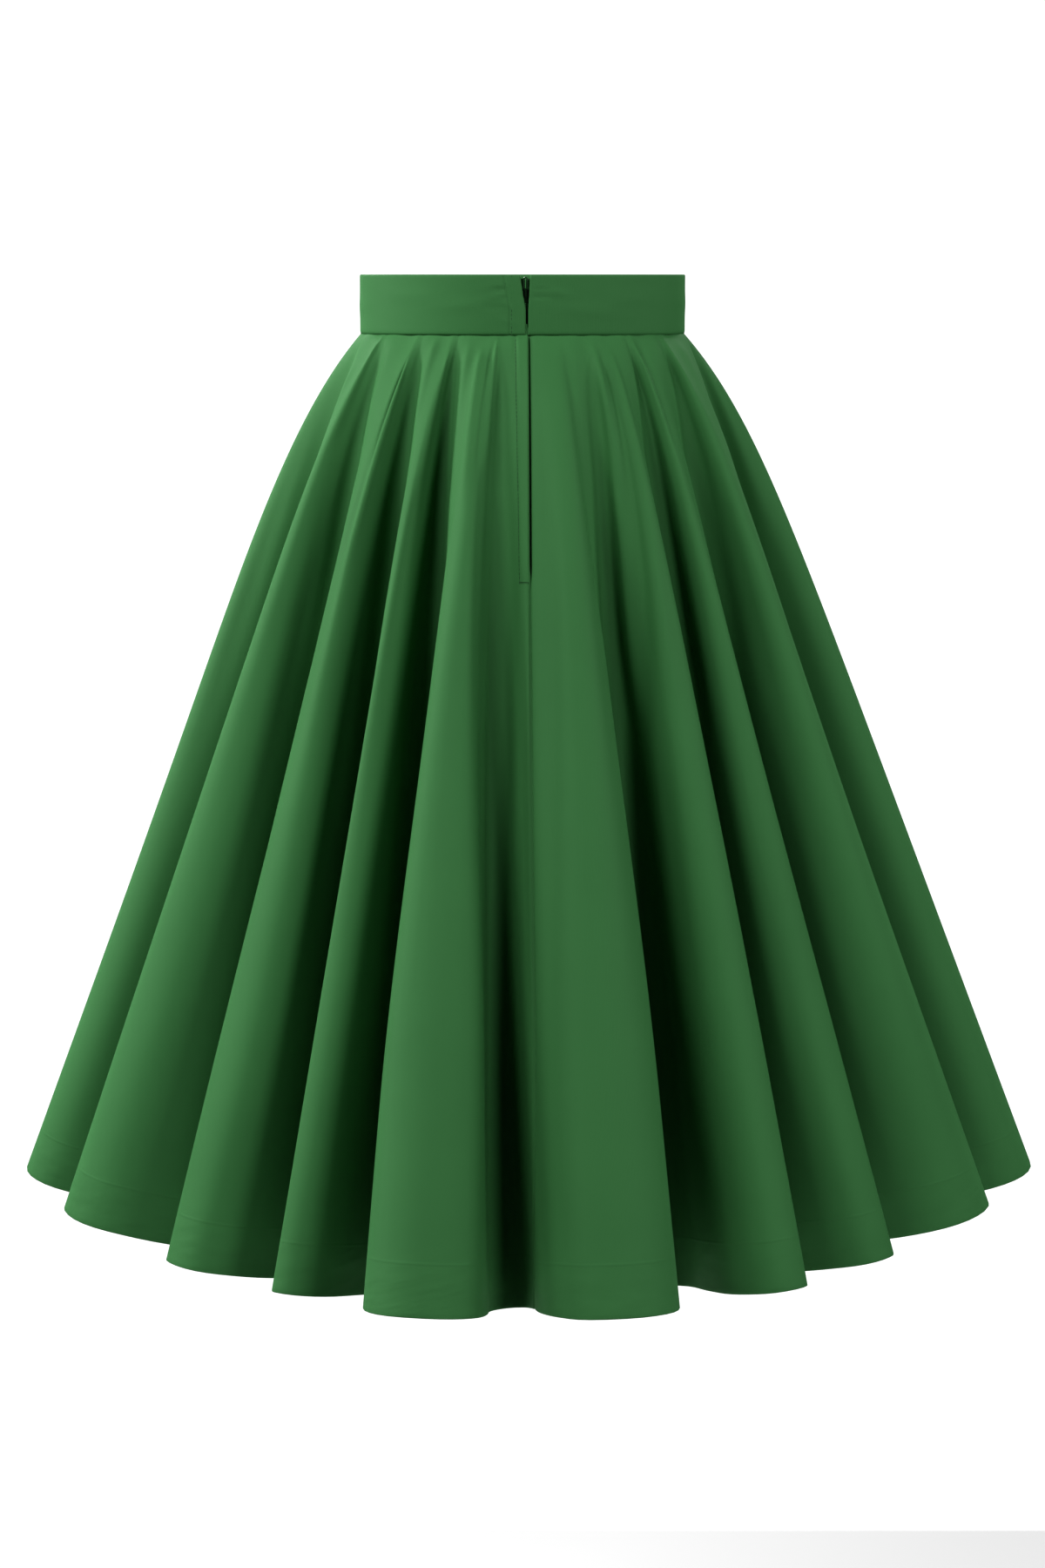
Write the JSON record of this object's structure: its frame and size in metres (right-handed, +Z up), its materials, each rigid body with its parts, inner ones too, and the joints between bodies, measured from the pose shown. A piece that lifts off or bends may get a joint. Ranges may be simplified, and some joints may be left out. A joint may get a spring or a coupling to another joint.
{
  "type": "circle skirt",
  "caption": "Full circle skirt with a high waistband and a lapped zip down the centre back, hanging in deep flutes, filled out and hollow.",
  "frame": {"origin": "centre of the waistband's top opening, where the wearer's waist holds it", "axes": "+Z up out of the waist, -Y towards the zip at the centre back, +Y to the front, +X to the wearer's right"},
  "size_m": [0.781, 0.7008, 0.7279],
  "materials": {
    "cloth": "mid-weight cotton sateen, fine close weave with a low soft sheen",
    "zip_tape": "dyed woven polyester tape, matt",
    "zip_coil": "dyed nylon coil",
    "zip_metal": "green lacquer over die-cast metal"
  },
  "bodies": {
    "skirt": {"skirt_back_left": "cloth", "skirt_back_right": "cloth", "skirt_front": "cloth", "waistband": "cloth", "zip_tape_left": "zip_tape", "zip_tape_right": "zip_tape", "zip_chain": "zip_coil", "zip_slider": "zip_metal"},
    "pull_tab": {"zip_pull": "zip_metal"}
  },
  "joints": [
    {"name": "pull_swing", "type": "hinge", "parent": "skirt", "child": "pull_tab", "pos_m": [0.0022, -0.08705, -0.0112], "axis": [1, 0, 0], "range_deg": [0, 130]}
  ]
}
